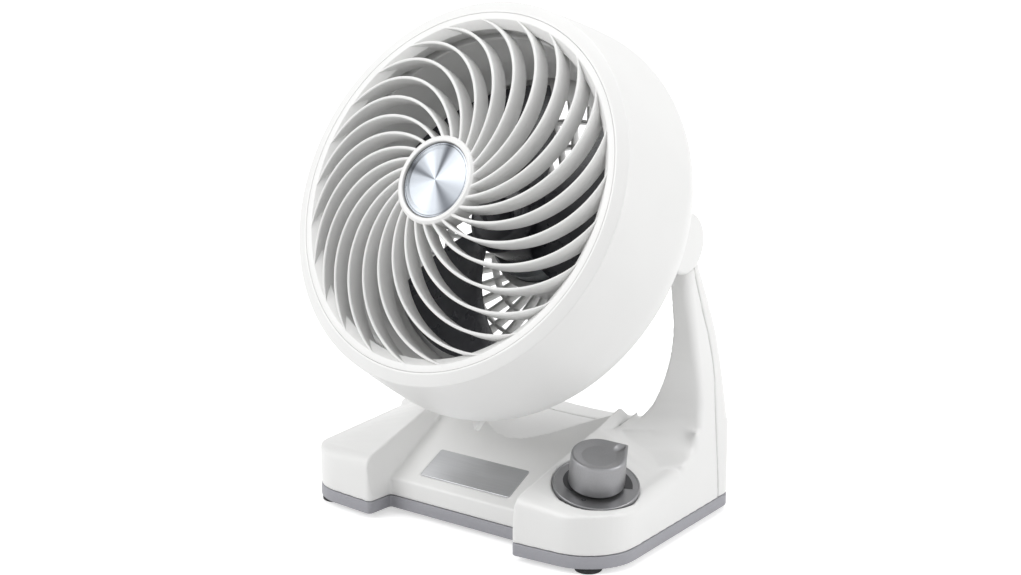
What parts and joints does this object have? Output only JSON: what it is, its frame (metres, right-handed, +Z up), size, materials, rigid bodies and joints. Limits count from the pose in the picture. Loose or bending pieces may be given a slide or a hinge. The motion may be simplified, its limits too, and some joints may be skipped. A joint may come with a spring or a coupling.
{
  "type": "air circulator fan",
  "caption": "Desk air circulator with a round tilting fan head behind a spiral-vaned grille, carried by two arms on a low base with a speed knob.",
  "frame": {"origin": "on the surface it stands on, under the middle of the overall box", "axes": "+Z up, the fan blows towards -Y, +X to the right seen from the front, the side that the knob is on"},
  "size_m": [0.2446, 0.1924, 0.3087],
  "materials": {
    "white_plastic": "satin moulded",
    "grey_plastic": "satin moulded",
    "dark_plastic": "satin moulded",
    "black_plastic": "moulded",
    "rubber": "soft matt",
    "satin_silver": "satin metallic paint",
    "brushed_metal": "spun",
    "silver_plate": "satin",
    "steel": "zinc plated",
    "motor_case": "die cast",
    "circuit_board": "solder mask"
  },
  "bodies": {
    "base": {"base_plate": "grey_plastic", "base_screw_1": "steel", "base_screw_2": "steel", "base_screw_3": "steel", "base_screw_4": "steel", "control_board": "circuit_board", "dial_plate": "satin_silver", "foot_front_left": "rubber", "foot_front_right": "rubber", "foot_rear_left": "rubber", "foot_rear_right": "rubber", "front_housing": "white_plastic", "label_plate": "silver_plate", "pot_body": "steel", "power_inlet": "black_plastic", "rear_cover": "white_plastic"},
    "head": {"shroud": "white_plastic", "front_grille": "white_plastic", "hub_badge": "brushed_metal", "inner_duct": "white_plastic", "rear_housing": "white_plastic", "motor": "motor_case", "pivot_pin_left": "steel", "pivot_pin_right": "steel", "friction_washer_left": "steel", "friction_washer_right": "steel", "head_screw_1": "steel", "head_screw_2": "steel", "head_screw_3": "steel", "head_screw_4": "steel", "motor_screw_1": "steel", "motor_screw_2": "steel"},
    "rotor": {"motor_shaft": "steel", "impeller": "dark_plastic", "blade_nut": "dark_plastic"},
    "knob": {"knob": "satin_silver", "pot_shaft": "steel"}
  },
  "joints": [
    {"name": "head_tilt", "type": "hinge", "parent": "base", "child": "head", "pos_m": [0, 0.028, 0.1765], "axis": [-1, 0, 0], "range_deg": [-26, 64]},
    {"name": "fan_spin", "type": "hinge", "parent": "head", "child": "rotor", "pos_m": [0, 0.02537, 0.17111], "axis": [0, -0.8988, 0.4384], "continuous": true},
    {"name": "knob_turn", "type": "hinge", "parent": "base", "child": "knob", "pos_m": [0.086, -0.024, 0.04201], "axis": [0.225, -0.193, 0.9551], "range_deg": [-88, 200]}
  ]
}
